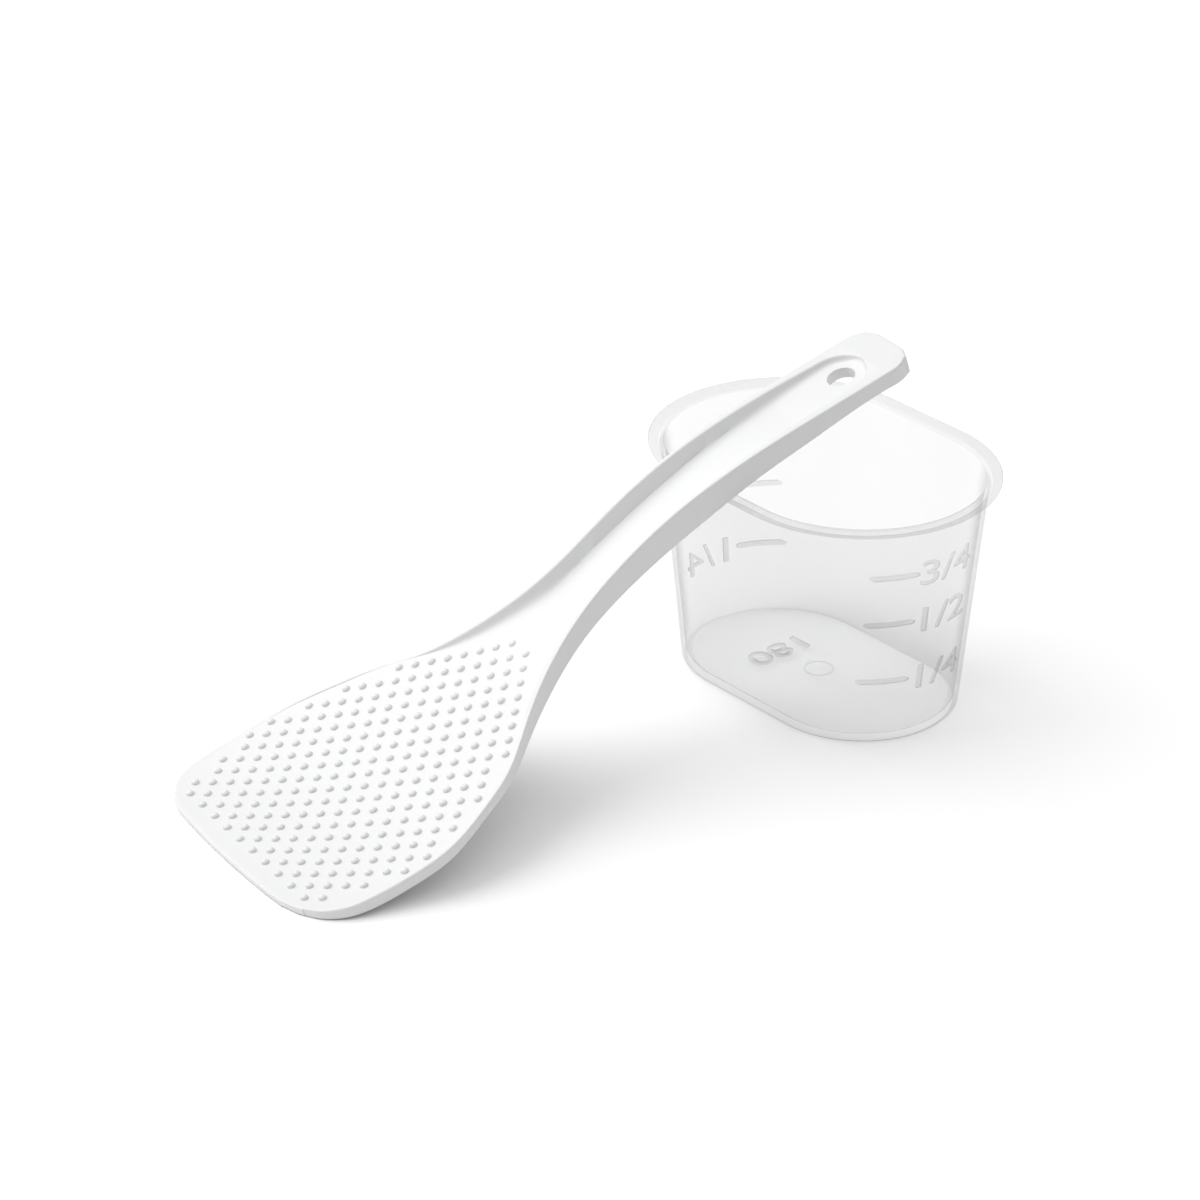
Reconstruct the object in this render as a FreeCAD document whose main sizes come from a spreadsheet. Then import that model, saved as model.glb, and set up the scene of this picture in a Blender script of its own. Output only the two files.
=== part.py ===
"""Rice paddle and measuring cup: the two loose accessories of a rice cooker.

Row frame: origin at the centre of the cup's base, +X along the cup's long axis, +Z up, millimetres.
The paddle leans on the cup: its blade tip stands on the table and its handle lies on the cup's rim.
"""
import FreeCAD, Part
import math
import os
import Sketcher

DIMENSIONS = {
    # measuring cup
    "cup_height": 56.6,
    "base_radius": 22.8,        # outside radius of the rounded ends at the table
    "base_straight": 13.3,      # half the straight side at the table
    "top_radius": 29.4,         # outside radius of the rounded ends under the rim
    "top_straight": 11.8,       # half the straight side at the rim
    "flange_radius": 32.1,
    "flange_thickness": 1.2,
    "flange_round": 0.45,
    "cup_wall": 1.0,
    "cup_floor": 1.2,
    "base_round": 1.0,
    "mark_raise": 0.25,
    "tick_width": 1.2,
    "quarter_level": 16.5,
    "half_level": 31.5,
    "three_quarter_level": 43.7,
    "tick_near_side": -17.4,
    "tick_far_side": -7.2,
    "digit_height": 6.4,
    # rice paddle, lengths along its own axis measured from the first column of nubs
    "tip_reach": 5.0,
    "first_height": 1.95,       # blade surface above the table at the first column of nubs
    "blade_slope": 0.176,
    "blade_curl": 0.00334,
    "neck_reach": 56.5,         # where the handle's rails leave the blade surface
    "rail_slope": 0.78,
    "bend_start": 86.0,
    "bend_end": 126.0,
    "grip_slope": 0.325,
    "handle_reach": 167.3,
    "blade_half_width": 37.2,
    "handle_half_width": 9.6,
    "rail_width": 1.3,
    "grip_rail_width": 2.3,
    "recess_end": 159.3,
    "recess_depth": 1.6,
    "hole_reach": 153.8,
    "hole_radius": 3.3,
    "nub_pitch": 5.77,
    "nub_radius": 0.97,
    "nub_rise": 0.8,
    "paddle_heading": 81.4,     # degrees from +X
    "paddle_x": -21.2,
    "paddle_y": -149.1,
}

NUB_COLUMNS = 27
NUB_STEP_RATIO = 0.5            # column step over nub pitch: a square grid turned by 45 degrees

doc = FreeCAD.newDocument("RiceSet")
sheet = doc.addObject("Spreadsheet::Sheet", "Dimensions")
for row, (alias, value) in enumerate(DIMENSIONS.items(), start=1):
    sheet.set(f"A{row}", alias)
    sheet.set(f"B{row}", str(value))
    sheet.setAlias(f"B{row}", alias)
doc.recompute()


def size(alias):
    """The sheet's value of one dimension."""
    return float(sheet.get(alias))


def vec(x, y, z=0.0):
    return FreeCAD.Vector(x, y, z)


# ---------------------------------------------------------------- measuring cup

def origin_plane(body, role):
    return next(feature for feature in body.Origin.OriginFeatures if feature.Role == role)


def slot_sketch(body, name, radius, straight, level):
    """An oblong: two half circles joined by straight sides, its sizes bound to the sheet."""
    sketch = body.newObject("Sketcher::SketchObject", name)
    sketch.AttachmentSupport = [(origin_plane(body, "XY_Plane"), "")]
    sketch.MapMode = "FlatFace"
    sketch.setExpression("AttachmentOffset.Base.z", level)
    up = vec(0, 0, 1)
    half_turn = math.pi / 2
    right = Part.ArcOfCircle(Part.Circle(vec(10, 0), up, 20), -half_turn, half_turn)
    left = Part.ArcOfCircle(Part.Circle(vec(-10, 0), up, 20), half_turn, 3 * half_turn)
    back = Part.LineSegment(vec(10, 20), vec(-10, 20))
    front = Part.LineSegment(vec(-10, -20), vec(10, -20))
    r_arc, b_line, l_arc, f_line = [sketch.addGeometry(g, False) for g in (right, back, left, front)]
    link = Sketcher.Constraint
    sketch.addConstraint([
        link("Tangent", r_arc, 2, b_line, 1),
        link("Tangent", b_line, 2, l_arc, 1),
        link("Tangent", l_arc, 2, f_line, 1),
        link("Tangent", f_line, 2, r_arc, 1),
        link("Horizontal", b_line),
        link("Symmetric", r_arc, 3, l_arc, 3, -1, 1),
        link("PointOnObject", r_arc, 3, -1),
    ])
    radius_index = sketch.addConstraint(link("Radius", r_arc, 20))
    straight_index = sketch.addConstraint(link("Distance", b_line, 20))
    sketch.setExpression(f"Constraints[{radius_index}]", radius)
    sketch.setExpression(f"Constraints[{straight_index}]", f"2 * ({straight})")
    return sketch


def loft(body, kind, name, bottom, top):
    feature = body.newObject(f"PartDesign::{kind}", name)
    feature.Profile = bottom
    feature.Sections = [top]
    feature.Ruled = True
    return feature


def horizontal_outline_edges(shape, level, low_radius, high_radius):
    """Names of the edges lying flat at one height whose reach across Y is within two limits."""
    names = []
    for number, edge in enumerate(shape.Edges, start=1):
        box = edge.BoundBox
        reach = max(abs(box.YMin), abs(box.YMax))
        if abs(box.ZMin - level) < 0.01 and abs(box.ZMax - level) < 0.01:
            if low_radius < reach < high_radius:
                names.append(f"Edge{number}")
    return names


def fillet(body, base, name, edges, radius):
    feature = body.newObject("PartDesign::Fillet", name)
    feature.Base = (base, edges)
    feature.setExpression("Radius", radius)
    return feature


def cup_body():
    """The cup without its scale: a drafted oblong tub with a flange round its mouth."""
    body = doc.addObject("PartDesign::Body", "CupBody")
    top = "Dimensions.cup_height"
    floor = "Dimensions.cup_floor"
    wall = "Dimensions.cup_wall"
    loft(
        body, "AdditiveLoft", "CupOuter",
        slot_sketch(body, "CupBase", "Dimensions.base_radius", "Dimensions.base_straight", "0 mm"),
        slot_sketch(body, "CupMouth", "Dimensions.top_radius", "Dimensions.top_straight", top))
    flange_sketch = slot_sketch(
        body, "FlangeOutline", "Dimensions.flange_radius", "Dimensions.top_straight", top)
    flange = body.newObject("PartDesign::Pad", "Flange")
    flange.Profile = flange_sketch
    flange.Reversed = True
    flange.setExpression("Length", "Dimensions.flange_thickness")
    loft(
        body, "SubtractiveLoft", "CupInner",
        slot_sketch(body, "InnerFloor", f"Dimensions.base_radius - {wall}",
                    "Dimensions.base_straight", floor),
        slot_sketch(body, "InnerMouth", f"Dimensions.top_radius - {wall}",
                    "Dimensions.top_straight", top))
    doc.recompute()
    base = body.Tip
    high = size("cup_height")
    flange_reach = size("flange_radius")
    edges = horizontal_outline_edges(base.Shape, high, flange_reach - 0.5, flange_reach + 60)
    edges += horizontal_outline_edges(
        base.Shape, high - size("flange_thickness"), flange_reach - 0.5, flange_reach + 60)
    fillet(body, base, "FlangeRound", edges, "Dimensions.flange_round")
    doc.recompute()
    base = body.Tip
    edges = horizontal_outline_edges(base.Shape, 0.0, 5, 60)
    edges += horizontal_outline_edges(base.Shape, size("cup_floor"), 5, 60)
    fillet(body, base, "BaseRound", edges, "Dimensions.base_round")
    doc.recompute()
    return body


# ------------------------------------------------------------ scale on the cup

# Each glyph is a list of strokes on a grid 0.62 wide and 1 tall.
GLYPHS = {
    "0": [[(0.1, 0), (0.52, 0), (0.62, 0.15), (0.62, 0.85), (0.52, 1), (0.1, 1), (0, 0.85),
           (0, 0.15), (0.1, 0)]],
    "1": [[(0.08, 0.78), (0.34, 1), (0.34, 0)]],
    "2": [[(0, 0.8), (0.12, 1), (0.5, 1), (0.62, 0.8), (0.6, 0.6), (0, 0), (0.62, 0)]],
    "3": [[(0, 0.85), (0.12, 1), (0.5, 1), (0.6, 0.85), (0.6, 0.65), (0.45, 0.53), (0.25, 0.53)],
          [(0.45, 0.53), (0.62, 0.38), (0.62, 0.15), (0.5, 0), (0.12, 0), (0, 0.15)]],
    "4": [[(0.46, 0), (0.46, 1), (0, 0.3), (0.62, 0.3)]],
    "8": [[(0.12, 0), (0.5, 0), (0.62, 0.15), (0.62, 0.4), (0.5, 0.53), (0.12, 0.53), (0, 0.4),
           (0, 0.15), (0.12, 0)],
          [(0.12, 0.53), (0.02, 0.65), (0.02, 0.88), (0.14, 1), (0.48, 1), (0.6, 0.88), (0.6, 0.65),
           (0.5, 0.53)]],
    "/": [[(0, -0.05), (0.5, 1.05)]],
}
GLYPH_STRETCH = 1.3
GLYPH_ADVANCE = 1.1
STROKE = 0.8


def stroke_prism(start, end, width, depth):
    """A round-ended bar from start to end in the XY plane, as tall as depth."""
    (x0, y0), (x1, y1) = start, end
    length = math.hypot(x1 - x0, y1 - y0)
    bar = Part.makeBox(length, width, depth, vec(0, -width / 2))
    ends = [Part.makeCylinder(width / 2, depth, vec(x, 0)) for x in (0, length)]
    prism = bar.multiFuse(ends)
    prism.Placement = FreeCAD.Placement(
        vec(x0, y0), FreeCAD.Rotation(vec(0, 0, 1), math.degrees(math.atan2(y1 - y0, x1 - x0))))
    return prism


def text_prisms(text, left, bottom, height, depth):
    """The strokes of a short text, upright in the XY plane from its lower left corner."""
    prisms = []
    for place, character in enumerate(text):
        origin = left + place * GLYPH_ADVANCE * height
        for line in GLYPHS[character]:
            points = [(origin + GLYPH_STRETCH * x * height, bottom + y * height) for x, y in line]
            prisms += [stroke_prism(a, b, STROKE, depth) for a, b in zip(points, points[1:])]
    return prisms


def tub(grow):
    """The cup's outside as a full solid, grown outwards by a distance."""
    def outline(radius, straight, level):
        ends = [vec(straight, -radius, level), vec(straight + radius, 0, level), vec(straight, radius, level)]
        flipped = [vec(-p.x, -p.y, level) for p in ends]
        return Part.Wire([
            Part.Arc(*ends).toShape(),
            Part.makeLine(ends[2], flipped[0]),
            Part.Arc(*flipped).toShape(),
            Part.makeLine(flipped[2], ends[0])])
    base = outline(size("base_radius") + grow, size("base_straight"), 0.0)
    mouth = outline(size("top_radius") + grow, size("top_straight"), size("cup_height"))
    return Part.makeLoft([base, mouth], True, True)


def scale_strokes():
    """One graduated scale, drawn upright in XY and then stood up on the cup's +X end."""
    height = size("digit_height")
    near, far = size("tick_near_side"), size("tick_far_side")
    depth = 60.0
    levels = {"1/4": "quarter_level", "1/2": "half_level", "3/4": "three_quarter_level"}
    prisms = []
    for text, alias in levels.items():
        level = size(alias)
        prisms.append(stroke_prism((near, level), (far, level), size("tick_width"), depth))
        prisms += text_prisms(text, far + 2.4, level - height / 2, height, depth)
    scale = prisms[0].multiFuse(prisms[1:])
    scale.rotate(vec(0, 0, 0), vec(1, 1, 1), 120)
    return scale


def scale_marks():
    """Both scales, as thin raised marks sunk half-way into the cup's wall."""
    band = tub(size("mark_raise")).cut(tub(-size("cup_wall") / 2))
    front = scale_strokes().common(band)
    back = front.copy()
    back.rotate(vec(0, 0, 0), vec(0, 0, 1), 180)
    marks = doc.addObject("Part::Feature", "ScaleMarks")
    marks.Shape = Part.Compound(front.Solids + back.Solids)
    return marks


def floor_marks():
    """The cup's capacity in millilitres and the ring round its moulding gate, raised on the floor."""
    depth = size("mark_raise") + size("cup_floor") / 2
    strokes = text_prisms("180", -6.2, -15.4, 6.0, depth)
    capacity = strokes[0].multiFuse(strokes[1:])
    capacity.rotate(vec(0, 0, 0), vec(0, 0, 1), -90)
    ring = Part.makeCylinder(3.6, depth).cut(Part.makeCylinder(3.1, depth))
    marks = doc.addObject("Part::Feature", "FloorMarks")
    marks.Shape = Part.Compound(capacity.Solids + ring.Solids)
    marks.Placement = FreeCAD.Placement(vec(0, 0, size("cup_floor") / 2), FreeCAD.Rotation())
    return marks


def measuring_cup():
    cup = doc.addObject("Part::MultiFuse", "MeasuringCup")
    cup.Shapes = [cup_body(), scale_marks(), floor_marks()]
    cup.Label = "measuring_cup"
    return cup


# ---------------------------------------------------------------------- paddle

def blade_height(reach):
    """Height of the blade's upper surface above the table, along the paddle's axis."""
    return size("first_height") + size("blade_slope") * reach + size("blade_curl") * reach ** 2


def rail_height(reach):
    """Height of the handle's rails: a straight rise, a bend, and the nearly level grip."""
    neck, start, end = size("neck_reach"), size("bend_start"), size("bend_end")
    steep, level = size("rail_slope"), size("grip_slope")
    rise = steep * (min(reach, start) - neck)
    bend = max(0.0, min(reach, end) - start)
    rise += steep * bend - (steep - level) * bend ** 2 / (2 * (end - start))
    rise += level * max(0.0, reach - end)
    return blade_height(neck) + rise


def curve(points):
    spline = Part.BSplineCurve()
    spline.interpolate([vec(*point) for point in points])
    return spline.toShape()


def upright(points):
    """Points given as reach and height, in the paddle's plane of symmetry."""
    return [(reach, 0.0, height) for reach, height in points]


def path(points):
    """A chain of straight edges through points."""
    return [Part.makeLine(vec(*a), vec(*b)) for a, b in zip(points, points[1:])]


def underside():
    """The paddle's lower edge from tip to handle end, thin at the tip and deep at the neck."""
    return upright([
        (-size("tip_reach"), 0.06), (3, 0.3), (12, 1.7), (24, 5.0), (36, 9.5), (46, 13.9),
        (54, 16.2), (62, 20.4), (72, 27.3), (86, 37.9), (100, 47.3), (112, 53.9),
        (117, 56.65), (130, 63.1), (148, 70.4), (size("handle_reach"), 76.8)])


def side_face():
    """The paddle seen from the side."""
    tip, neck, end = -size("tip_reach"), size("neck_reach"), size("handle_reach")
    blade = upright([(r, blade_height(r)) for r in (tip, 0, 10, 22, 34, 46, neck)])
    start, stop = size("bend_start"), size("bend_end")
    bend = upright([(r, rail_height(r)) for r in (start, start + 13, start + 27, stop)])
    low = underside()
    edges = [curve(blade), curve(bend), curve(low)]
    edges += path([blade[-1], bend[0]]) + path([bend[-1], (end, 0, rail_height(end)), low[-1]])
    edges += path([blade[0], low[0]])
    return Part.Face(Part.Wire(Part.sortEdges(edges)[0]))


def side_outline():
    """One long side of the blade, neck and handle, as reach and half width."""
    wide, grip = size("blade_half_width"), size("handle_half_width")
    return [(-4.7, 20), (-2.3, 29.6), (2, 34.2), (8, wide - 0.7), (20, wide), (30, 36.7), (42, 32.3),
            (50, 27.9), (54, 24.7), (61, 18.7), (68, 14.1), (76, 10.5), (84, 8.85), (92, 8.45),
            (116, grip - 0.4), (161.5, grip)]


def plan_face():
    """The paddle seen from above."""
    end = size("handle_reach")
    side = side_outline()
    edges = []
    for hand in (1, -1):
        edges.append(curve([(reach, hand * half, 0) for reach, half in side]))
        corner = [vec(side[-1][0], hand * side[-1][1]), vec(end - 1.6, hand * 8.0), vec(end, hand * 4.1)]
        edges.append(Part.Arc(*corner).toShape())
    edges += path([(end, 4.1, 0), (end, -4.1, 0)])
    tip = [vec(-4.7, 20), vec(-size("tip_reach"), 0), vec(-4.7, -20)]
    edges.append(Part.Arc(*tip).toShape())
    return Part.Face(Part.Wire(Part.sortEdges(edges)[0]))


def channel_floor():
    """The floor of the handle's channel, from the blade to the recess round the hole."""
    neck, end, deep = size("neck_reach"), size("recess_end") + 3, size("recess_depth")
    return upright([
        (neck - 3, blade_height(neck - 3)), (neck + 4, blade_height(neck + 4)), (68, blade_height(68)),
        (80, 37.2), (90, 43.0), (100, 48.8), (112, 55.6), (124, 61.8), (136, 67.7),
        (148, rail_height(148) - deep), (end, rail_height(end) - deep)])


def channel_side_face():
    """What the channel takes away, seen from the side: all above its floor."""
    floor = channel_floor()
    high = 90.0
    edges = [curve(floor)]
    edges += path([floor[-1], (floor[-1][0], 0, high), (floor[0][0], 0, high), floor[0]])
    return Part.Face(Part.Wire(Part.sortEdges(edges)[0]))


def channel_plan_face():
    """The channel seen from above: the outline moved in by the rails, closed by a round end."""
    thin, thick = size("rail_width"), size("grip_rail_width")
    grip = size("handle_half_width")
    radius = grip - thick - 0.4
    centre = size("recess_end") - radius
    side = [(54, 24.1 - thin), (61, 18.7 - thin), (68, 14.1 - thin), (76, 10.5 - thin), (84, 8.85 - thin),
            (92, 8.45 - thin), (116, grip - 0.4 - thin), (136, grip - thick), (centre, radius)]
    edges = [curve([(reach, hand * half, 0) for reach, half in side]) for hand in (1, -1)]
    edges += path([(54, 24.1 - thin, 0), (54, thin - 24.1, 0)])
    edges.append(Part.Arc(vec(centre, radius), vec(centre + radius, 0), vec(centre, -radius)).toShape())
    return Part.Face(Part.Wire(Part.sortEdges(edges)[0]))


def extrusion(name, face, direction, length, both_ways):
    """Extrudes a face along a direction, to one side of it or to both."""
    profile = doc.addObject("Part::Feature", name + "Profile")
    profile.Shape = face
    solid = doc.addObject("Part::Extrusion", name)
    solid.Base = profile
    solid.DirMode = "Custom"
    solid.Dir = direction
    solid.LengthFwd = length
    solid.Symmetric = both_ways
    solid.Solid = True
    return solid


def common(name, *shapes):
    result = doc.addObject("Part::MultiCommon", name)
    result.Shapes = list(shapes)
    return result


def hanging_hole():
    """A round hole square to the grip's surface."""
    hole = doc.addObject("Part::Cylinder", "HangingHole")
    hole.setExpression("Radius", "Dimensions.hole_radius")
    hole.Height = 30
    tilt = FreeCAD.Rotation(vec(0, 1, 0), -math.degrees(math.atan(size("grip_slope"))))
    reach = size("hole_reach")
    middle = vec(reach, 0, rail_height(reach) - size("recess_depth"))
    hole.Placement = FreeCAD.Placement(middle - tilt.multVec(vec(0, 0, 15)), tilt)
    return hole


def nub_limit(column):
    """Half the width of the nub field at one column, in nub pitches: three straight edges."""
    from_tip = 4.9 + 0.165 * column
    along_shoulder = 6.02 - 0.17 * (column - 9)
    into_neck = 0.5 * (27.5 - column)
    return min(from_tip, along_shoulder, into_neck)


def nub_places():
    """Reach and offset of every nub, in staggered columns an even distance apart along the surface."""
    pitch = size("nub_pitch")
    step = pitch * NUB_STEP_RATIO
    places = []
    reach = 0.0
    for column in range(NUB_COLUMNS):
        shift = 0.0 if column % 2 else 0.5
        half_count = math.floor(nub_limit(column) - shift)
        first = -half_count - (column + 1) % 2
        places += [(reach, (row + shift) * pitch) for row in range(first, half_count + 1)]
        slope = size("blade_slope") + 2 * size("blade_curl") * reach
        reach += step / math.hypot(1, slope)
    return places


def nubs():
    """Low domes: half balls sunk into the blade until only their caps stand out."""
    cap_radius, rise = size("nub_radius"), size("nub_rise")
    ball_radius = (cap_radius ** 2 + rise ** 2) / (2 * rise)
    sunk = ball_radius - rise
    balls = []
    for reach, offset in nub_places():
        slope = math.atan(size("blade_slope") + 2 * size("blade_curl") * reach)
        upward = vec(-math.sin(slope), 0, math.cos(slope))
        centre = vec(reach, offset, blade_height(reach)) - upward * sunk
        balls.append(Part.makeSphere(ball_radius, centre, upward, 0, 90, 360))
    field = doc.addObject("Part::Feature", "Nubs")
    field.Shape = Part.Compound(balls)
    return field


def rice_paddle():
    wide = 2 * size("blade_half_width") + 10
    blank = common("PaddleBlank",
                   extrusion("PaddleSide", side_face(), vec(0, 1, 0), wide, True),
                   extrusion("PaddlePlan", plan_face(), vec(0, 0, 1), 100, False))
    channel = common("Channel",
                     extrusion("ChannelSide", channel_side_face(), vec(0, 1, 0), wide, True),
                     extrusion("ChannelPlan", channel_plan_face(), vec(0, 0, 1), 100, False))
    channelled = doc.addObject("Part::Cut", "ChannelledPaddle")
    channelled.Base, channelled.Tool = blank, channel
    drilled = doc.addObject("Part::Cut", "DrilledPaddle")
    drilled.Base, drilled.Tool = channelled, hanging_hole()
    paddle = doc.addObject("Part::MultiFuse", "RicePaddle")
    paddle.Shapes = [drilled, nubs()]
    paddle.Label = "rice_paddle"
    paddle.setExpression("Placement.Base.x", "Dimensions.paddle_x")
    paddle.setExpression("Placement.Base.y", "Dimensions.paddle_y")
    paddle.setExpression("Placement.Rotation.Angle", "Dimensions.paddle_heading")
    return paddle


# ---------------------------------------------------------------------- output

def check_document():
    for item in doc.Objects:
        if "Invalid" in item.State or "Error" in item.State:
            raise RuntimeError(f"{item.Name} failed: {item.State}")


def export(part):
    shape = part.Shape
    if shape.isNull() or not shape.isValid() or len(shape.Solids) != 1:
        raise RuntimeError(f"{part.Label} is not one valid solid")
    shape.exportStep(os.path.join("parts", part.Label + ".step"))
    print(part.Label, "volume mm3", round(shape.Volume, 1), shape.BoundBox)


parts = [measuring_cup(), rice_paddle()]
doc.recompute()
check_document()
os.makedirs("parts", exist_ok=True)
for part in parts:
    export(part)
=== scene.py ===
"""Looks for a clear measuring cup with a white rice paddle that leans across its rim.

Shapes are worked out in millimetres and turned into metres as each mesh is made.
The cup stands at the origin. The paddle has its own axes: reach runs from the first column of nubs
towards the handle's end, side runs to the left of that, and height is above the table.
"""

import math

import bmesh
import bpy
import numpy as np
from mathutils import Matrix, Vector


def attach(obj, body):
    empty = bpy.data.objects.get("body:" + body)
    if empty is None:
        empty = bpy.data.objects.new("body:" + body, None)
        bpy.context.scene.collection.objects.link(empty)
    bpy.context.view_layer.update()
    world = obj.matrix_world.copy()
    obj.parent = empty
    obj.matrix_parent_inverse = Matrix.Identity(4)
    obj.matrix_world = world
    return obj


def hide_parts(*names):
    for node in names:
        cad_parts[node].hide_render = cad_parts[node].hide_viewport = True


MM = 0.001


# ---------------------------------------------------------------- mesh helpers

def smooth(points, at):
    """The natural cubic spline through (position, value) points."""
    x, y = np.array(points, float).T
    step = np.diff(x)
    rise = np.diff(y) / step
    count = len(x)
    matrix = np.eye(count)
    target = np.zeros(count)
    for i in range(1, count - 1):
        matrix[i, i - 1:i + 2] = step[i - 1], 2 * (step[i - 1] + step[i]), step[i]
        target[i] = 6 * (rise[i] - rise[i - 1])
    bend = np.linalg.solve(matrix, target)
    at = np.asarray(at, float)
    i = np.clip(np.searchsorted(x, at) - 1, 0, count - 2)
    a = (x[i + 1] - at) / step[i]
    b = 1 - a
    curved = ((a ** 3 - a) * bend[i] + (b ** 3 - b) * bend[i + 1]) * step[i] ** 2 / 6
    return a * y[i] + b * y[i + 1] + curved


def corner(start, tip, end, count):
    """A rounded corner from start to end, pulled towards tip, without its first point."""
    t = np.linspace(0, 1, count + 1)[1:, None]
    start, tip, end = (np.array(p, float) for p in (start, tip, end))
    return (1 - t) ** 2 * start + 2 * t * (1 - t) * tip + t ** 2 * end


def loft(loops):
    """Vertices and quads of a tube through closed loops that all have as many points."""
    loops = [np.asarray(loop) for loop in loops]
    count = len(loops[0])
    vertices = np.concatenate(loops)
    faces = []
    for ring in range(len(loops) - 1):
        low, high = ring * count, (ring + 1) * count
        faces += [(low + i, low + (i + 1) % count, high + (i + 1) % count, high + i) for i in range(count)]
    return vertices, faces


def make_object(name, vertices, faces, material, merge=0.0):
    """A mesh object from points in millimetres, with its normals outwards."""
    mesh = bpy.data.meshes.new(name)
    mesh.from_pydata([tuple(v * MM) for v in np.asarray(vertices, float)], [], faces)
    shape = bmesh.new()
    shape.from_mesh(mesh)
    if merge:
        bmesh.ops.remove_doubles(shape, verts=shape.verts, dist=merge * MM)
    bmesh.ops.dissolve_degenerate(shape, edges=shape.edges, dist=1e-7)
    bmesh.ops.recalc_face_normals(shape, faces=shape.faces)
    shape.to_mesh(mesh)
    shape.free()
    piece = bpy.data.objects.new(name, mesh)
    bpy.context.scene.collection.objects.link(piece)
    mesh.materials.append(material)
    return piece


def shade(piece, angle):
    """Smooth shading that keeps edges sharper than an angle."""
    for polygon in piece.data.polygons:
        polygon.use_smooth = True
    piece.data.set_sharp_from_angle(angle=math.radians(angle))


def join(main, others):
    """Puts other objects' meshes into the main one, each with its own material."""
    with bpy.context.temp_override(active_object=main, selected_editable_objects=[main] + others):
        bpy.ops.object.join()
    return main


# ------------------------------------------------------------------- materials

def plastic(name, colour, roughness, **sockets):
    """A moulded plastic with faintly uneven colour and gloss, and its texture coordinates."""
    material = bpy.data.materials.new(name)
    material.use_nodes = True
    nodes, links = material.node_tree.nodes, material.node_tree.links
    shader = nodes["Principled BSDF"]
    for socket, value in sockets.items():
        shader.inputs[socket.replace("_", " ")].default_value = value
    where = nodes.new("ShaderNodeTexCoord")

    cloud = nodes.new("ShaderNodeTexNoise")
    cloud.inputs["Scale"].default_value = 55
    cloud.inputs["Detail"].default_value = 3
    links.new(where.outputs["Object"], cloud.inputs["Vector"])
    tint = nodes.new("ShaderNodeValToRGB")
    tint.color_ramp.elements[0].position = 0.3
    tint.color_ramp.elements[0].color = [0.985 * c for c in colour] + [1]
    tint.color_ramp.elements[1].position = 0.7
    tint.color_ramp.elements[1].color = list(colour) + [1]
    links.new(cloud.outputs["Fac"], tint.inputs["Fac"])
    links.new(tint.outputs["Color"], shader.inputs["Base Color"])
    gloss = nodes.new("ShaderNodeMapRange")
    gloss.inputs["To Min"].default_value = roughness[0]
    gloss.inputs["To Max"].default_value = roughness[1]
    links.new(cloud.outputs["Fac"], gloss.inputs["Value"])
    links.new(gloss.outputs["Result"], shader.inputs["Roughness"])
    return material, where


def grained(material, where, scale, strength, distance):
    """Adds a fine grain to a material's surface."""
    nodes, links = material.node_tree.nodes, material.node_tree.links
    grain = nodes.new("ShaderNodeTexNoise")
    grain.inputs["Scale"].default_value = scale
    grain.inputs["Detail"].default_value = 4
    links.new(where.outputs["Object"], grain.inputs["Vector"])
    bump = nodes.new("ShaderNodeBump")
    bump.inputs["Strength"].default_value = strength
    bump.inputs["Distance"].default_value = distance
    links.new(grain.outputs["Fac"], bump.inputs["Height"])
    links.new(bump.outputs["Normal"], nodes["Principled BSDF"].inputs["Normal"])
    return material


def white_plastic():
    """The paddle's satin white plastic."""
    material, where = plastic("white_plastic", (0.73, 0.732, 0.734), (0.36, 0.44), IOR=1.49)
    return grained(material, where, 1400, 0.12, 0.00003)


EDGE_ON_FROM = 0.6


def clear_plastic(name, colour, face_on, edge_on):
    """Clear plastic that lets straight light through, less of it where it is seen edge on."""
    material, where = plastic(name, colour, (0.03, 0.07), IOR=1.49)
    nodes, links = material.node_tree.nodes, material.node_tree.links
    tilt = nodes.new("ShaderNodeLayerWeight")
    tilt.inputs["Blend"].default_value = 0.5
    cover = nodes.new("ShaderNodeMapRange")
    cover.interpolation_type = "SMOOTHSTEP"
    cover.inputs["From Min"].default_value = EDGE_ON_FROM
    cover.inputs["To Min"].default_value = face_on
    cover.inputs["To Max"].default_value = edge_on
    links.new(tilt.outputs["Facing"], cover.inputs["Value"])
    links.new(cover.outputs["Result"], nodes["Principled BSDF"].inputs["Alpha"])
    return grained(material, where, 90, 0.05, 0.0002)


def frosted_plastic(name, colour, cover):
    """Matt plastic that hides a set share of what is behind it."""
    material, where = plastic(name, colour, (0.5, 0.6), IOR=1.45, Alpha=cover)
    return grained(material, where, 2500, 0.3, 0.00003)


# ----------------------------------------------------------------- rice paddle

PADDLE_HEADING = math.radians(81.4)
PADDLE_ORIGIN = np.array([-21.2, -149.1, 0.0])
TIP_STATION = -2.0
TIP_FADE = 14.0
END_STATION = 165.1
END_FADE = 5.5
END_REACH = 166.7
END_CORNER = 5.5
GRIP_HALF_WIDTH = 9.65
RECESS_END = 159.3
RECESS_RADIUS = 6.9
RECESS_ROUND = 2.2
EDGE_ROUND = 0.45
HOLE_REACH = 153.8
HOLE_RADIUS = 3.3
HOLE_DRILL_LENGTH = 20
GRIP_SLOPE = 0.325
CHANNEL_LEAN = 0.3
CHANNEL_FILLET = 2.2
BLADE_START = 1.95
BLADE_SLOPE = 0.176
BLADE_CURL = 0.00334
NUB_COLUMNS = 27
NUB_PITCH = 5.77
NUB_RADIUS = 0.97
NUB_RISE = 0.8
NUB_SUNK = 0.12

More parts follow.
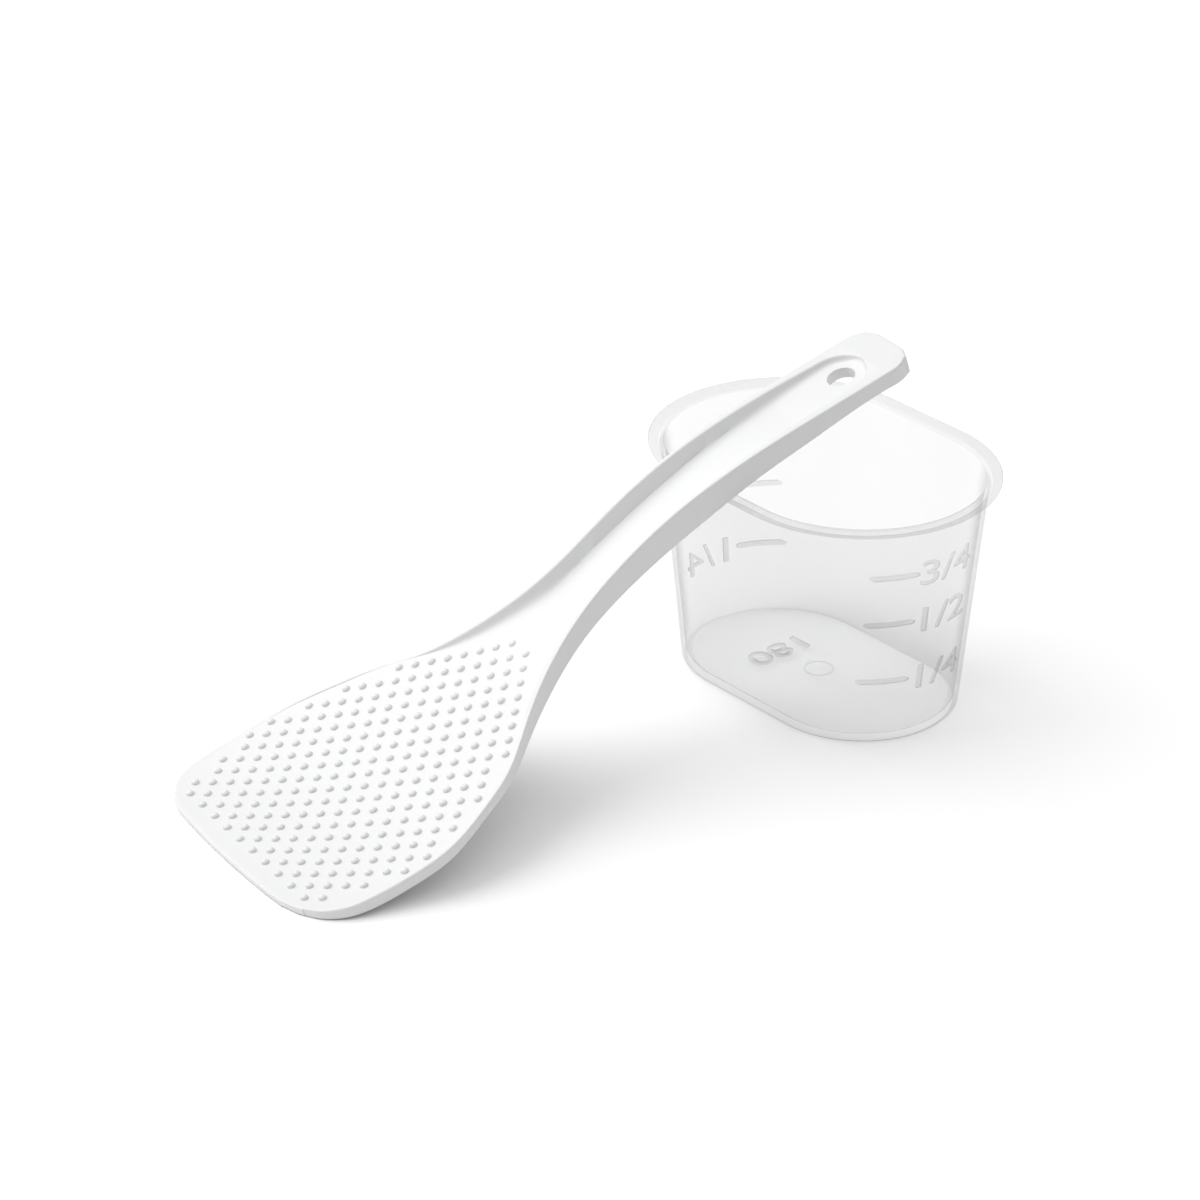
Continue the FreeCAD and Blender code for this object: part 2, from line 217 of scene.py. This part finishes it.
# Each list is (reach, value): half widths and rail widths, then heights above the table.
HALF_WIDTH = [(-2, 29.4), (-0.5, 31.8), (2, 34.1), (5, 35.7), (9, 36.6), (20, 37.2), (30, 36.7),
              (42, 32.3), (50, 27.9), (58, 21.0), (66, 15.2), (74, 11.3), (82, 9.1), (92, 8.45),
              (108, 8.8), (124, 9.4), (163, 9.65)]
RAIL_WIDTH = [(-6, 1.3), (60, 1.1), (92, 1.05), (112, 1.1), (126, 1.6), (140, 2.1), (153, 2.8)]
EDGE_TOP = [(-6, 1.0), (0, 1.95), (10, 4.1), (20, 6.85), (30, 10.4), (40, 14.6), (50, 19.2),
            (56, 22.5), (64, 28.6), (76, 37.9), (88, 47.05), (100, 55.4), (112, 61.95), (124, 67.15),
            (136, 71.35), (150, 75.7), (167, 81.0)]
UNDERSIDE = [(-6, 0.1), (2, 0.15), (10, 1.1), (20, 3.8), (30, 7.2), (40, 11.6), (48, 14.5), (56, 16.9),
             (64, 21.4), (76, 30.4), (88, 39.3), (100, 47.2), (112, 54.0), (117, 56.75), (128, 62.2),
             (140, 67.1), (152, 71.9), (167, 76.6)]
CHANNEL_FLOOR = [(68, 29.6), (80, 37.2), (92, 43.9), (104, 50.7), (116, 57.4), (128, 64.1), (138, 69.1),
                 (146, 72.4), (158, 76.8), (168, 80.1)]


def blade_height(reach):
    """Height of the blade's upper surface above the table."""
    return BLADE_START + BLADE_SLOPE * reach + BLADE_CURL * reach ** 2


def blade_slope(reach):
    """Rise of the blade's upper surface per unit of reach."""
    return BLADE_SLOPE + 2 * BLADE_CURL * reach


def middle_height(reach):
    """Height of the paddle's upper surface on its middle line: the blade, then the channel's floor."""
    blade = [(r, blade_height(r)) for r in range(-6, 61, 6)]
    return smooth(blade + CHANNEL_FLOOR, reach)


def tip_edge(side):
    """Reach of the blade's tip edge, slightly bowed and turning in at its corners."""
    edge = [(-29.4, -2), (-26, -3.5), (-20, -4.5), (0, -5.2), (20, -4.5), (26, -3.5), (29.4, -2)]
    return smooth(edge, side)


def end_edge(side):
    """Reach of the handle's end, flat with round corners."""
    past_flat = np.maximum(np.abs(side) - (GRIP_HALF_WIDTH - END_CORNER), 0)
    return END_REACH - END_CORNER + np.sqrt(np.maximum(END_CORNER ** 2 - past_flat ** 2, 0))


def half_width(station):
    """Half the paddle's width, drawn in round the corners of the handle's end."""
    past = max(station - (END_REACH - END_CORNER), 0)
    wide = float(smooth(HALF_WIDTH, min(station, HALF_WIDTH[-1][0])))
    return wide - END_CORNER + math.sqrt(END_CORNER ** 2 - past ** 2)


def channel_half_width(station):
    """Half the width between the rails, closed by a half circle at the recess round the hole."""
    width = half_width(station) - float(smooth(RAIL_WIDTH, min(station, 153)))
    past = station - (RECESS_END - RECESS_RADIUS)
    if past > 0:
        width = min(width, math.sqrt(max(RECESS_RADIUS ** 2 - past ** 2, 1.0)))
    return width


def channel_open(station):
    """How deep the channel is, as a share of its full depth: it ends in a rounded step."""
    past = (station - (RECESS_END - RECESS_ROUND)) / RECESS_ROUND
    return math.sqrt(max(1 - max(past, 0) ** 2, 0))


def half_section(station):
    """Half a cross-section's upper line: side, share of the channel's depth risen, and rounding drop."""
    wide = half_width(station)
    inner = channel_half_width(station) if station < RECESS_END else 1.0 + 0.6 * (station - RECESS_END)
    depth = max(float(smooth(EDGE_TOP, station) - middle_height(station)), 0.3)
    lean = CHANNEL_LEAN * depth
    fillet = min(CHANNEL_FILLET, 0.7 * depth)
    fillet = min(fillet, 0.8 * max(inner - lean, 0))
    risen = min(fillet / depth, 0.55)
    foot = max(inner - lean, 0.05 * inner)
    edge = min(EDGE_ROUND, 0.4 * depth)
    floor = [(u * (foot - fillet), 0.0) for u in np.linspace(0, 1, 7)]
    bottom = corner((foot - fillet, 0), (foot, 0), (foot + (inner - foot) * risen, risen), 5)
    top = [(inner - (inner - foot) * edge / depth, 1 - edge / depth)]
    lip = corner(top[0], (inner, 1), (inner + edge, 1), 3)
    upper = np.vstack([floor, bottom, top, lip, [(wide - EDGE_ROUND, 1)]])
    outer = corner((wide - EDGE_ROUND, 0), (wide, 0), (wide, EDGE_ROUND), 4)
    side = np.concatenate([upper[:, 0], outer[:, 0]])
    share = np.concatenate([upper[:, 1], np.ones(len(outer))])
    drop = np.concatenate([np.zeros(len(upper)), outer[:, 1]])
    return side, share, drop


def section(station, shift=0.0, squeeze=0.0):
    """A closed loop round the paddle. Shift moves it along the reach, and squeeze thins it."""
    side, share, drop = (np.concatenate([sign * a[:0:-1], a]) for sign, a in
                         zip((-1, 1, 1), half_section(station)))
    near_tip = np.clip(1 - (station - TIP_STATION) / TIP_FADE, 0, 1)
    near_end = np.clip(1 - (END_STATION - station) / END_FADE, 0, 1)
    reach = station + shift
    across = side / half_width(station)
    reach = reach + near_tip ** 2 * (tip_edge(across * half_width(TIP_STATION)) - TIP_STATION)
    reach = reach + near_end ** 2 * (end_edge(across * half_width(END_STATION)) - END_STATION)
    top, low = smooth(EDGE_TOP, reach), smooth(UNDERSIDE, reach)
    sunk = (top - middle_height(reach)) * (1 - share)
    upper = top - sunk * (channel_open(station) if station < RECESS_END else 0) - drop - squeeze
    lower = low + drop + squeeze
    middle = (top - drop + low + drop) / 2
    upper, lower = np.maximum(upper, middle), np.minimum(lower, middle)
    lean = near_end * GRIP_SLOPE
    over = np.column_stack([reach + lean * (top - upper), side, upper])
    under = np.column_stack([reach + lean * (top - lower), side, lower])
    return np.vstack([over, under[::-1]])


def paddle_stations():
    """Where the cross-sections go: closer together where the outline turns."""
    return np.concatenate([
        np.linspace(TIP_STATION, 12, 18)[:-1],
        np.linspace(12, 150, 112)[:-1],
        np.linspace(150, RECESS_END - RECESS_ROUND, 9)[:-1],
        RECESS_END - RECESS_ROUND * (1 - np.sin(np.linspace(0, math.pi / 2, 10))),
        np.linspace(RECESS_END, END_STATION, 12)[1:]])


def paddle_loops():
    """Every cross-section from tip to end, with a rounded nose at each that closes to a line."""
    turn = np.linspace(0, math.pi / 2, 5)
    nose = [(EDGE_ROUND * math.sin(a), EDGE_ROUND * (1 - math.cos(a))) for a in turn[1:]]
    loops = [section(TIP_STATION, -0.5 * nose[-1][0], 10.0)]
    loops += [section(TIP_STATION, -0.5 * out, 0.6 * thin) for out, thin in reversed(nose)]
    loops += [section(station) for station in paddle_stations()]
    loops += [section(END_STATION, out, thin) for out, thin in nose]
    loops += [section(END_STATION, nose[-1][0], 10.0)]
    return loops


def to_row(points):
    """Points on the paddle's own axes, placed in the row frame."""
    along = np.array([math.cos(PADDLE_HEADING), math.sin(PADDLE_HEADING), 0])
    across = np.array([-math.sin(PADDLE_HEADING), math.cos(PADDLE_HEADING), 0])
    points = np.asarray(points, float)
    return (PADDLE_ORIGIN + points[:, :1] * along + points[:, 1:2] * across
            + points[:, 2:] * np.array([0, 0, 1]))


def nub_limit(column):
    """Half the nub field's width at a column, in pitches: from the tip, along the side, into the neck."""
    return min(4.9 + 0.165 * column, 6.02 - 0.17 * (column - 9), 0.5 * (27.5 - column))


def nub_places():
    """Reach and side of every nub, in staggered columns an even distance apart along the surface."""
    reach = 0.0
    for column in range(NUB_COLUMNS):
        even = column % 2 == 0
        half_count = math.floor(nub_limit(column) - 0.5 * even)
        for row in range(-half_count - even, half_count + 1):
            yield reach, (row + 0.5 * even) * NUB_PITCH
        reach += NUB_PITCH / 2 / math.hypot(1, blade_slope(reach))


def nub_mesh():
    """All nubs as low domes that start just under the blade's surface."""
    rings, around = 6, 14
    turn = np.linspace(0, 2 * math.pi, around, endpoint=False)
    vertices, faces = [], []
    for reach, side in nub_places():
        slope = math.atan(blade_slope(reach))
        sin_slope, cos_slope = math.sin(slope), math.cos(slope)
        height = blade_height(reach)
        first = len(vertices)
        for ring in range(rings):
            angle = math.pi / 2 * ring / rings
            radius = NUB_RADIUS * math.cos(angle)
            lift = NUB_RISE * math.sin(angle) - NUB_SUNK * (ring == 0)
            for a in turn:
                along = radius * math.cos(a)
                vertices.append((reach + along * cos_slope - lift * sin_slope,
                                 side + radius * math.sin(a),
                                 height + along * sin_slope + lift * cos_slope))
        vertices.append((reach - NUB_RISE * sin_slope, side, height + NUB_RISE * cos_slope))
        crown = len(vertices) - 1
        for ring in range(rings - 1):
            low, high = first + ring * around, first + (ring + 1) * around
            faces += [(low + i, low + (i + 1) % around, high + (i + 1) % around, high + i)
                      for i in range(around)]
        last = first + (rings - 1) * around
        faces += [(last + i, last + (i + 1) % around, crown) for i in range(around)]
        faces.append(tuple(first + i for i in reversed(range(around))))
    return np.array(vertices), faces


def cut_hanging_hole(paddle):
    """Drills the round hole square to the grip."""
    middle = to_row([(HOLE_REACH, 0, float(middle_height(HOLE_REACH)))])[0] * MM
    heading = Matrix.Rotation(PADDLE_HEADING, 4, "Z")
    tilt = Matrix.Rotation(-math.atan(GRIP_SLOPE), 4, "Y")
    shape = bmesh.new()
    bmesh.ops.create_cone(shape, cap_ends=True, segments=72, radius1=HOLE_RADIUS * MM,
                          radius2=HOLE_RADIUS * MM, depth=HOLE_DRILL_LENGTH * MM,
                          matrix=Matrix.Translation(Vector(middle)) @ heading @ tilt)
    mesh = bpy.data.meshes.new("drill")
    shape.to_mesh(mesh)
    shape.free()
    drill = bpy.data.objects.new("drill", mesh)
    bpy.context.scene.collection.objects.link(drill)
    cut = paddle.modifiers.new("hole", "BOOLEAN")
    cut.object = drill
    cut.operation = "DIFFERENCE"
    cut.solver = "EXACT"
    graph = bpy.context.evaluated_depsgraph_get()
    drilled = bpy.data.meshes.new_from_object(paddle.evaluated_get(graph))
    paddle.modifiers.clear()
    paddle.data = drilled
    bpy.data.objects.remove(drill)


def build_paddle():
    """The paddle and its nubs as one piece."""
    white = white_plastic()
    vertices, faces = loft(paddle_loops())
    paddle = make_object("rice_paddle_moulding", to_row(vertices), faces, white, merge=0.005)
    cut_hanging_hole(paddle)
    shade(paddle, 50)
    vertices, faces = nub_mesh()
    nubs = make_object("nubs", to_row(vertices), faces, white)
    shade(nubs, 60)
    join(paddle, [nubs])
    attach(paddle, "paddle")
    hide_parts("rice_paddle")


# --------------------------------------------------------------- measuring cup

CUP_HEIGHT = 56.6
BASE_RADIUS, BASE_STRAIGHT = 22.8, 13.3
TOP_RADIUS, TOP_STRAIGHT = 29.4, 11.8
FLOOR_TOP = 1.2
MARK_RAISE = 0.25
MARK_LEVELS = {"1/4": 16.5, "1/2": 31.5, "3/4": 43.7}
MARK_GAPS = {"1/4": 2.3, "1/2": 2.0, "3/4": 0.6}
FIGURE_STRETCH = 1.45
TICK_SIDES = (-17.4, -7.2)
TICK_HEIGHT = 1.2
DIGIT_HEIGHT = 6.4
MARK_COLOUR = (0.5, 0.505, 0.51)
RIM_DEPTH = 1.3
FLOOR_FIGURE_LEFT, FLOOR_FIGURE_BOTTOM, FLOOR_FIGURE_HEIGHT = -6.2, -15.4, 6.2
RING_INNER, RING_OUTER, RING_RAISE = 3.1, 3.6, 0.15


def wall_radius(level):
    """Outside radius of the cup's rounded ends at a level."""
    return BASE_RADIUS + (TOP_RADIUS - BASE_RADIUS) * level / CUP_HEIGHT


def wall_straight(level):
    """Half the cup's straight side at a level."""
    return BASE_STRAIGHT + (TOP_STRAIGHT - BASE_STRAIGHT) * level / CUP_HEIGHT


def stadium(outwards, level):
    """The cup's outline at a level, moved outwards from the outer wall."""
    radius, straight = wall_radius(level) + outwards, wall_straight(level)
    turn = np.linspace(-math.pi / 2, math.pi / 2, 65)
    end = np.column_stack([straight + radius * np.cos(turn), radius * np.sin(turn)])
    edge = np.column_stack([np.linspace(straight, -straight, 14)[1:-1], np.full(12, radius)])
    half = np.vstack([end, edge])
    outline = np.vstack([half, -half])
    return np.column_stack([outline, np.full(len(outline), level)])


def cup_profile():
    """The wall's section as (outwards from the outer wall, level), from under the base to the floor."""
    rim = CUP_HEIGHT
    under = [(-4.0, 0.0), (-1.2, 0.0)]
    under += list(corner((-1.2, 0.0), (-0.1, 0.0), (0.0, 1.2), 5))
    wall = [(0.0, z) for z in np.linspace(4, 52, 13)]
    neck = [(0.0, rim - 2.2)] + list(corner((0.0, rim - 2.2), (0.0, rim - 1.2), (0.9, rim - 1.2), 4))
    bead = list(corner((2.1, rim - 1.2), (2.7, rim - 1.2), (2.7, rim - 0.6), 4))
    bead += list(corner((2.7, rim - 0.6), (2.7, rim), (2.1, rim), 4))
    lip = [(0.2, rim)] + list(corner((0.2, rim), (-0.9, rim), (-1.0, rim - 1.1), 5))
    inside = [(-1.0, z) for z in np.linspace(52, 4.2, 13)]
    foot = list(corner((-1.0, 3.0), (-1.1, FLOOR_TOP), (-3.2, FLOOR_TOP), 6)) + [(-6.0, FLOOR_TOP)]
    return under + wall + neck + [(2.1, rim - 1.2)] + bead + lip + inside + [(-1.0, 3.0)] + foot


def cup_mesh():
    """The cup as one closed skin: its section swept round, its underside and its floor."""
    loops = [stadium(outwards, level) for outwards, level in cup_profile()]
    vertices, faces = loft(loops)
    count = len(loops[0])
    last = len(vertices) - count
    faces.append(tuple(reversed(range(count))))
    faces.append(tuple(range(last, last + count)))
    return vertices, faces


def on_wall(points, back):
    """Wraps points (side, level, out) onto the cup's rounded +X end, or onto the -X end."""
    side, level, out = np.asarray(points, float).T
    radius = wall_radius(level) + out
    away = wall_straight(level) + np.sqrt(radius ** 2 - side ** 2)
    turn = -1 if back else 1
    return np.column_stack([turn * away, turn * side, level])


def on_floor(points):
    """Lays points (right, up, out) on the cup's floor, read from the +X end upside down."""
    right, up, out = np.asarray(points, float).T
    return np.column_stack([up, -right, FLOOR_TOP + out])


def text_mesh(text, left, bottom, height):
    """Raised figures in the plain built-in typeface, from their lower left corner."""
    curve = bpy.data.curves.new("figures", "FONT")
    curve.body = text
    curve.size = height / 0.73
    curve.extrude = MARK_RAISE
    curve.resolution_u = 6
    holder = bpy.data.objects.new("figures", curve)
    bpy.context.scene.collection.objects.link(holder)
    bpy.context.view_layer.update()
    mesh = bpy.data.meshes.new_from_object(holder)
    points = np.array([v.co for v in mesh.vertices])
    points[:, 0] = left + FIGURE_STRETCH * (points[:, 0] - points[:, 0].min())
    points[:, 1] += bottom
    faces = [tuple(p.vertices) for p in mesh.polygons]
    bpy.data.objects.remove(holder)
    return points, faces


def bar_mesh(start, end, middle, height):
    """A raised bar along a level line, cut into short lengths so that it can be wrapped."""
    loops = []
    for side in np.linspace(start, end, 18):
        inset = 0.35 if side in (start, end) else 0.0
        low, high = middle - height / 2 + inset, middle + height / 2 - inset
        loops.append([(side, low, -MARK_RAISE), (side, high, -MARK_RAISE),
                      (side, high, MARK_RAISE), (side, low, MARK_RAISE)])
    vertices, faces = loft(loops)
    last = len(vertices) - 4
    return vertices, faces + [(0, 1, 2, 3), (last, last + 1, last + 2, last + 3)]


def ring_mesh(inner, outer):
    """A raised ring, flat on the floor."""
    turn = np.linspace(0, 2 * math.pi, 49)
    loops = []
    for a in turn:
        loops.append([(r * math.cos(a), r * math.sin(a), z) for r, z in
                      ((inner, 0.0), (outer, 0.0), (outer, RING_RAISE), (inner, RING_RAISE))])
    return loft(loops)


def open_below(points, faces):
    """Leaves out the faces that are sunk in the wall under a mark."""
    heights = np.asarray(points, float)[:, 2]
    return points, [face for face in faces if max(heights[i] for i in face) > 0]


def wall_marks(material):
    """Ticks and fractions on both rounded ends."""
    marks = []
    for back in (False, True):
        for text, level in MARK_LEVELS.items():
            left, bottom = TICK_SIDES[1] + MARK_GAPS[text], level - DIGIT_HEIGHT / 2
            parts = [bar_mesh(*TICK_SIDES, level, TICK_HEIGHT),
                     text_mesh(text, left, bottom, DIGIT_HEIGHT)]
            for points, faces in (open_below(*part) for part in parts):
                marks.append(make_object("mark", on_wall(points, back), faces, material))
    return marks


def floor_marks(material):
    """The capacity figure and the ring on the cup's floor."""
    figure, faces = open_below(
        *text_mesh("180", FLOOR_FIGURE_LEFT, FLOOR_FIGURE_BOTTOM, FLOOR_FIGURE_HEIGHT))
    marks = [make_object("mark", on_floor(figure), faces, material)]
    ring, faces = open_below(*ring_mesh(RING_INNER, RING_OUTER))
    marks.append(make_object("mark", on_floor(ring), faces, material, merge=0.001))
    return marks


def cup_material_index(face):
    """Which of the cup's materials a face has: 0 wall, 1 rim, 2 floor, 3 underside."""
    level = face.center.z / MM
    if level > CUP_HEIGHT - RIM_DEPTH:
        return 1
    if level < FLOOR_TOP + 0.1 and face.normal.z > 0.9:
        return 2
    if level < 0.01:
        return 3
    return 0


def build_cup():
    """The cup and its marks as one piece.

    The underside hides what is behind it, because the renderer draws only a few clear surfaces in a row.
    """
    vertices, faces = cup_mesh()
    cup = make_object("measuring_cup_moulding", vertices, faces,
                      clear_plastic("clear_wall", (0.38, 0.383, 0.386), 0.09, 0.55))
    cup.data.materials.append(clear_plastic("clear_rim", (0.42, 0.423, 0.426), 0.2, 0.85))
    cup.data.materials.append(clear_plastic("clear_floor", (0.36, 0.363, 0.366), 0.02, 0.3))
    cup.data.materials.append(frosted_plastic("clouded_base", (0.94, 0.942, 0.944), 1.0))
    for face in cup.data.polygons:
        face.material_index = cup_material_index(face)
    shade(cup, 40)
    marks = wall_marks(frosted_plastic("frosted_marks", MARK_COLOUR, 0.24))
    marks += floor_marks(frosted_plastic("frosted_floor_marks", MARK_COLOUR, 0.16))
    for mark in marks:
        shade(mark, 30)
    join(cup, marks)
    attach(cup, "cup")
    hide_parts("measuring_cup")


# ------------------------------------------------------- floor, lights, camera

CAMERA_PLACE = (0.69473, -0.66237, 0.52252)
CAMERA_AZIMUTH = math.radians(49.386)
CAMERA_ELEVATION = math.radians(27.705)
CAMERA_LENS = 141.54
FLOOR_LEVEL = -0.1
FLOOR_HALF_SIZE = 3000.0
FLOOR_COLOUR = (0.935, 0.935, 0.935, 1)
SKY_STRENGTH = 0.43
LIGHTS_AIM = (-0.01, -0.06, 0.03)


def build_floor():
    """A wide white table, just under the cup so that the two surfaces never share a plane."""
    material = bpy.data.materials.new("floor")
    material.use_nodes = True
    shader = material.node_tree.nodes["Principled BSDF"]
    shader.inputs["Base Color"].default_value = FLOOR_COLOUR
    shader.inputs["Roughness"].default_value = 1.0
    shader.inputs["Specular IOR Level"].default_value = 0.0
    corners = [(x * FLOOR_HALF_SIZE, y * FLOOR_HALF_SIZE, FLOOR_LEVEL)
               for x, y in ((-1, -1), (1, -1), (1, 1), (-1, 1))]
    floor = make_object("floor", corners, [(0, 1, 2, 3)], material)


def soft_light(name, place, size, power):
    """A round lamp of a size in metres and a power in watts, turned towards the set."""
    light = bpy.data.lights.new(name, "AREA")
    light.shape = "DISK"
    light.size = size
    light.energy = power
    lamp = bpy.data.objects.new(name, light)
    lamp.location = place
    lamp.rotation_euler = (Vector(LIGHTS_AIM) - Vector(place)).to_track_quat("-Z", "Y").to_euler()
    bpy.context.scene.collection.objects.link(lamp)


def build_lights():
    world = bpy.data.worlds.new("studio")
    world.use_nodes = True
    sky = world.node_tree.nodes["Background"]
    sky.inputs["Color"].default_value = (1, 1, 1, 1)
    sky.inputs["Strength"].default_value = SKY_STRENGTH
    bpy.context.scene.world = world
    soft_light("key_light", (-0.95, -0.62, 1.15), 1.9, 20.5)
    soft_light("top_light", (0.0, 0.0, 1.7), 3.0, 16.5)
    bpy.context.scene.view_settings.view_transform = "Standard"


def build_camera():
    """The camera, from its azimuth and elevation in a row frame with +Z up."""
    sin_a, cos_a = math.sin(CAMERA_AZIMUTH), math.cos(CAMERA_AZIMUTH)
    sin_e, cos_e = math.sin(CAMERA_ELEVATION), math.cos(CAMERA_ELEVATION)
    right = Vector((cos_a, sin_a, 0))
    back = Vector((sin_a * cos_e, -cos_a * cos_e, sin_e))
    up = back.cross(right)
    lens = bpy.data.cameras.new("camera")
    lens.lens = CAMERA_LENS
    lens.sensor_width = 36
    lens.clip_start = 0.05
    lens.clip_end = 20
    camera = bpy.data.objects.new("camera", lens)
    camera.matrix_world = Matrix.Translation(CAMERA_PLACE) @ Matrix((right, up, back)).transposed().to_4x4()
    bpy.context.scene.collection.objects.link(camera)
    bpy.context.scene.camera = camera


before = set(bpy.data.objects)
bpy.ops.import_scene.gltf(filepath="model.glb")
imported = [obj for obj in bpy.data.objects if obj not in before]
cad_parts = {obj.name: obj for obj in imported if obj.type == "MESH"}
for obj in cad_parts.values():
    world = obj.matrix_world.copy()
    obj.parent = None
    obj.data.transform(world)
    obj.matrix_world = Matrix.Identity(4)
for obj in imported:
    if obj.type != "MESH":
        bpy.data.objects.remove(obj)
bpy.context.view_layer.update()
build_cup()
build_paddle()
build_floor()
build_lights()
build_camera()
